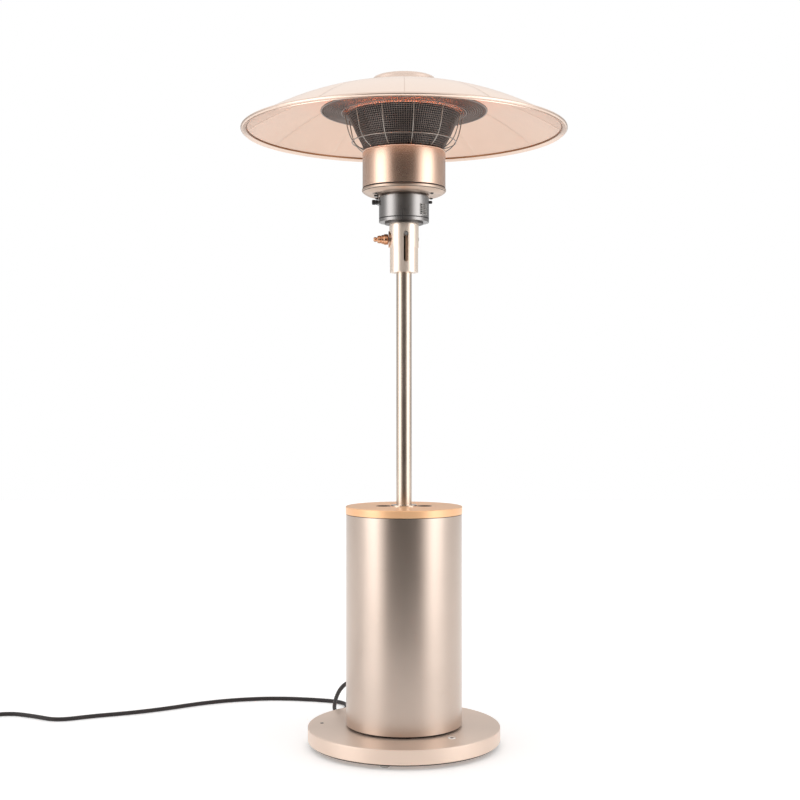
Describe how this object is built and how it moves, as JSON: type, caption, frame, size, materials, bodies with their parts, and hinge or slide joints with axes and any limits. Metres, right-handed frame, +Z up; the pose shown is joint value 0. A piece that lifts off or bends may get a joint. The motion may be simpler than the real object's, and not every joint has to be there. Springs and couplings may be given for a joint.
{
  "type": "electric table-top patio heater",
  "caption": "Free-standing electric patio heater: weighted disc and round can below, slim mast, and a ring element in a mesh bowl under a shallow dome.",
  "frame": {"origin": "on the floor under the mast's axis, at the centre of the base's footprint", "axes": "+Z up along the mast, -Y towards the front, where the sleeve's slot and the vent grille show, +X to the right"},
  "size_m": [0.9307, 0.4937, 0.9321],
  "materials": {
    "champagne_steel": "champagne tint, finely brushed",
    "bright_aluminium": "turned, warm anodised",
    "copper_lid": "copper tint, satin",
    "rose_dome": "pale rose gold, satin",
    "brass": "turned",
    "rubber": "matt",
    "black_plastic": "fine grain",
    "nylon": "smooth",
    "dark_steel": "satin black",
    "zinc_steel": "zinc plated",
    "cast_iron": "as cast",
    "grey_metal": "gunmetal satin",
    "ceramic": "unglazed",
    "quartz": "clear quartz round a coiled wire",
    "mesh_steel": "heat-proof black",
    "guard_wire": "drawn wire",
    "lead_jacket": "smooth jacket",
    "chrome_pins": "nickel plated"
  },
  "bodies": {
    "base": {"base_disc": "champagne_steel", "base_underlay": "rubber", "glide_feet": "rubber", "glide_studs": "zinc_steel", "disc_plugs": "champagne_steel", "plinth_ring": "black_plastic", "housing_floor": "zinc_steel", "ballast": "cast_iron", "base_bolts": "zinc_steel", "mast_flange": "zinc_steel", "flange_screws": "zinc_steel", "housing_shell": "champagne_steel", "mast_brace": "zinc_steel", "mast": "champagne_steel", "guide_pin": "zinc_steel", "terminal_block": "black_plastic", "tilt_switch": "black_plastic", "lead_gland": "black_plastic", "inner_lead": "lead_jacket", "riser_lead": "lead_jacket", "mains_lead": "lead_jacket", "lead_coil": "lead_jacket", "plug_lead": "lead_jacket", "mains_plug": "black_plastic", "plug_pins": "chrome_pins"},
    "lid": {"lid": "copper_lid", "lid_collar": "bright_aluminium", "lid_gasket": "rubber"},
    "head": {"sleeve": "bright_aluminium", "clamp_insert": "brass", "grub_screw": "zinc_steel", "under_disc": "zinc_steel", "control_housing": "grey_metal", "control_cover": "grey_metal", "vent_grille": "dark_steel", "rotary_switch": "black_plastic", "overheat_cutout": "black_plastic", "knob_bracket": "dark_steel", "neck_ring": "dark_steel", "pan": "champagne_steel", "canister": "champagne_steel", "element_plate": "zinc_steel", "ceramic_base": "ceramic", "element_sockets": "ceramic", "heating_element": "quartz", "element_leads": "lead_jacket", "emitter_mesh": "mesh_steel", "wire_guard": "guard_wire", "dome": "rose_dome", "rim_bead": "rose_dome", "dome_posts": "zinc_steel", "dome_screws": "zinc_steel", "top_cap": "rose_dome"},
    "clamp_pad": {"clamp_pad": "nylon"},
    "clamp_screw": {"clamp_screw": "brass"},
    "heat_knob": {"control_knob": "black_plastic", "knob_spindle": "zinc_steel"},
    "reset_button": {"reset_button": "black_plastic"}
  },
  "joints": [
    {"name": "lid_lift", "type": "slide", "parent": "base", "child": "lid", "axis": [0, 0, 1], "range_m": [0, 0.32]},
    {"name": "head_height", "type": "slide", "parent": "base", "child": "head", "axis": [0, 0, 1], "range_m": [0, 0.036]},
    {"name": "clamp_travel", "type": "slide", "parent": "head", "child": "clamp_pad", "axis": [-1, 0, 0], "range_m": [0, 0.0025]},
    {"name": "clamp_turn", "type": "hinge", "parent": "clamp_pad", "child": "clamp_screw", "pos_m": [-0.03, 0, 0.706], "axis": [-1, 0, 0], "range_deg": [0, 720.1]},
    {"name": "heat_knob_turn", "type": "hinge", "parent": "head", "child": "heat_knob", "pos_m": [-0.035, 0, 0.758], "axis": [-1, 0, 0], "range_deg": [0, 180]},
    {"name": "reset_press", "type": "slide", "parent": "head", "child": "reset_button", "axis": [-1, 0, 0], "range_m": [0, 0.0015], "stiffness_N_per_m": 900, "springref_m": -0.0004}
  ],
  "couplings": [
    {"joint": "clamp_turn", "follows": "clamp_travel", "rad_per_m": 5026.5}
  ]
}
